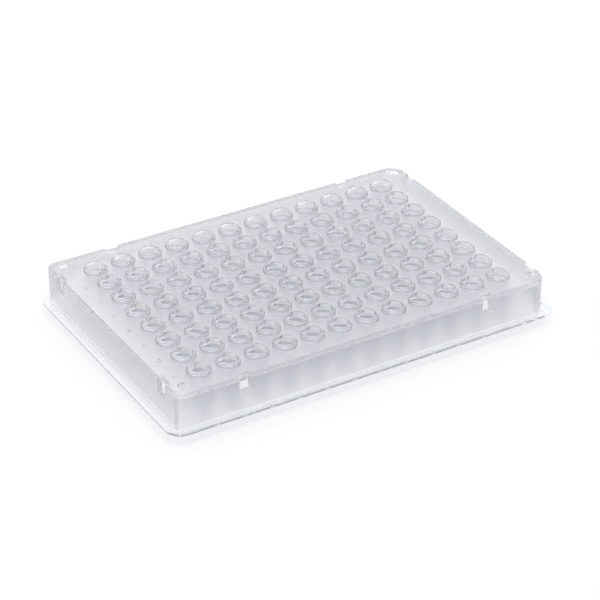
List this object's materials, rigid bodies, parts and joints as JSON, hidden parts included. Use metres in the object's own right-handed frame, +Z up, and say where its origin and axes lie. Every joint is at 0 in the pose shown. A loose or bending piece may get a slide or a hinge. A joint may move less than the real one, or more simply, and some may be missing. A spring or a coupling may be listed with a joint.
{
  "type": "well plate",
  "caption": "Clear skirted laboratory well plate with a grid of conical wells, raised well rims and a stepped, slotted skirt.",
  "frame": {"origin": "centre of the footprint, in the plane that the plate stands on", "axes": "+X along the long side, towards the two large skirt corners; +Y along the short side; +Z up, out of the wells"},
  "size_m": [0.1278, 0.0854, 0.0157],
  "materials": {
    "clear_plastic": "clear, glossy deck and wells, faintly frosted skirt"
  },
  "bodies": {
    "root": {"well_plate": "clear_plastic"}
  },
  "joints": []
}
